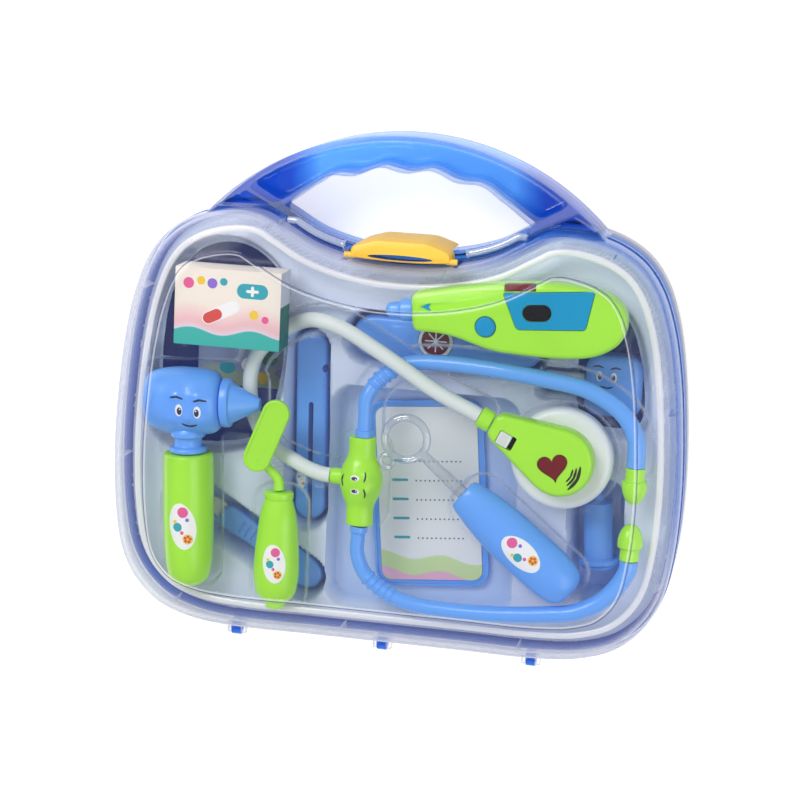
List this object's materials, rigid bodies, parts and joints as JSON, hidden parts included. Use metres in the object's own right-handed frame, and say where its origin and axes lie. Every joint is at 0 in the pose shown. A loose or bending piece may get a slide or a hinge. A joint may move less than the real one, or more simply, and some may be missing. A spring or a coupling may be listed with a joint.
{
  "type": "toy doctor case",
  "caption": "Clear and blue plastic toy carry case with a moulded handle, a hinged lid and a yellow latch, filled with toy doctor's tools in formed trays.",
  "frame": {"origin": "middle of the flat back of the base, which the case lies on", "axes": "+X across the case to the right as seen from the lid, +Y from the hinge towards the handle, +Z from the back out through the clear lid"},
  "size_m": [0.274, 0.2508, 0.06],
  "materials": {
    "blue_clear": "gloss, transparent blue",
    "clear": "gloss, clear",
    "film": "thin formed clear sheet",
    "tray_white": "thin formed translucent whitish sheet",
    "yellow": "satin gloss",
    "green": "satin gloss",
    "tool_blue": "satin gloss",
    "white": "satin gloss",
    "white_hose": "soft satin",
    "panel_blue": "gloss",
    "black": "gloss",
    "red_lens": "gloss, dark transparent red",
    "card": "printed card"
  },
  "bodies": {
    "base": {"base_shell": "blue_clear", "tray": "tray_white", "blister": "film", "otoscope_handle": "green", "otoscope_head": "tool_blue", "otoscope_cone": "tool_blue", "mirror_handle": "green", "mirror_head": "green", "stethoscope_hub": "green", "headset_tube_upper": "tool_blue", "headset_tube_lower": "tool_blue", "ear_tip_upper": "green", "ear_tip_lower": "green", "stethoscope_hose": "white_hose", "chest_disc": "white", "chest_housing": "green", "chest_collar": "green", "chest_heart_lens": "red_lens", "thermometer_front": "green", "thermometer_back": "green", "thermometer_panel": "panel_blue", "thermometer_window": "black", "thermometer_side_lens": "red_lens", "thermometer_probe": "tool_blue", "lens_handle": "tool_blue", "lens_ring": "clear", "carton": "card", "forceps": "tool_blue", "scalpel_handle": "tool_blue", "scalpel_blade": "white", "clipboard": "tool_blue", "record_card": "card", "gauge_body": "tool_blue", "gauge_ring": "white", "gauge_dial": "red_lens", "hammer_head": "tool_blue", "hammer_handle": "white", "syringe_barrel": "tool_blue", "leaflet": "card"},
    "lid": {"lid_shell": "clear"},
    "latch": {"latch": "yellow"},
    "thermometer_button": {"thermometer_button": "panel_blue"},
    "chest_switch": {"chest_slide_switch": "white"},
    "plunger": {"syringe_plunger": "tool_blue"}
  },
  "joints": [
    {"name": "lid_hinge", "type": "hinge", "parent": "base", "child": "lid", "pos_m": [-0.003, -0.1206, 0.03015], "axis": [1, 0, 0], "range_deg": [0, 180]},
    {"name": "latch_pivot", "type": "hinge", "parent": "lid", "child": "latch", "pos_m": [0, 0.07, 0.0448], "axis": [1, 0, 0], "range_deg": [0, 60]},
    {"name": "thermometer_press", "type": "slide", "parent": "base", "child": "thermometer_button", "axis": [0, 0, -1], "range_m": [0, 0.001], "stiffness_N_per_m": 200},
    {"name": "chest_switch_slide", "type": "slide", "parent": "base", "child": "chest_switch", "axis": [0.9026, -0.4305, 0], "range_m": [0, 0.002]},
    {"name": "plunger_slide", "type": "slide", "parent": "base", "child": "plunger", "axis": [0.0698, -0.9976, 0], "range_m": [0, 0.009]}
  ]
}
